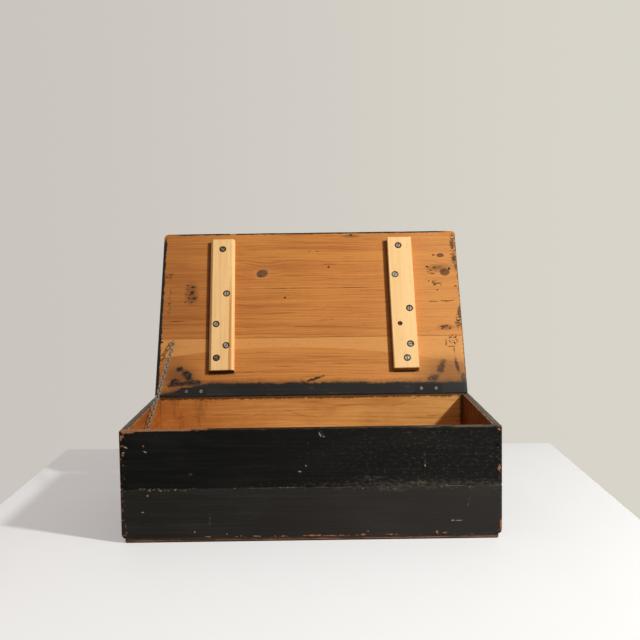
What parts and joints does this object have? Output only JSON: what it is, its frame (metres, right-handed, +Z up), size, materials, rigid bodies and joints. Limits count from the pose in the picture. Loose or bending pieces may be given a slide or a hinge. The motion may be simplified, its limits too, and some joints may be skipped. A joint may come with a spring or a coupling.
{
  "type": "wooden box",
  "caption": "Low black-painted pine box whose hinged lid stands open on a stay chain; the lid's bare inner face is stiffened by screwed battens.",
  "frame": {"origin": "middle of the box's base, on the surface that it stands on", "axes": "+X along the front to the viewer's right, +Y from the front to the hinged back, +Z up"},
  "size_m": [0.468, 0.4318, 0.382],
  "materials": {
    "painted_pine": "old black paint outside, worn to the wood on the arrises; bare pine inside",
    "lid_pine": "bare aged pine inside, old black paint outside",
    "batten_pine": "newer bare pine",
    "nail_iron": "dull, painted over",
    "screw_steel": "dulled",
    "black_iron": "painted black",
    "chain_steel": "tarnished"
  },
  "bodies": {
    "box": {"front_upper_board": "painted_pine", "front_lower_board": "painted_pine", "back_upper_board": "painted_pine", "back_lower_board": "painted_pine", "left_end_board": "painted_pine", "right_end_board": "painted_pine", "bottom_front_board": "painted_pine", "bottom_back_board": "painted_pine", "front_nails": "nail_iron", "back_nails": "nail_iron", "bottom_nails": "nail_iron", "left_hinge_box_leaf": "black_iron", "right_hinge_box_leaf": "black_iron", "left_hinge_pin": "black_iron", "right_hinge_pin": "black_iron", "hinge_box_screws": "black_iron", "chain_wall_eye": "chain_steel", "stay_chain": "chain_steel"},
    "lid": {"lid_front_board": "lid_pine", "lid_back_board": "lid_pine", "left_batten": "batten_pine", "right_batten": "batten_pine", "left_batten_screws": "screw_steel", "right_batten_screws": "screw_steel", "left_hinge_lid_leaf": "black_iron", "right_hinge_lid_leaf": "black_iron", "hinge_lid_screws": "black_iron", "chain_lid_eye": "chain_steel"}
  },
  "joints": [
    {"name": "lid_hinge", "type": "hinge", "parent": "box", "child": "lid", "pos_m": [0, 0.141, 0.1388], "axis": [1, 0, 0], "range_deg": [0, 120], "deforming": ["stay_chain"]}
  ]
}
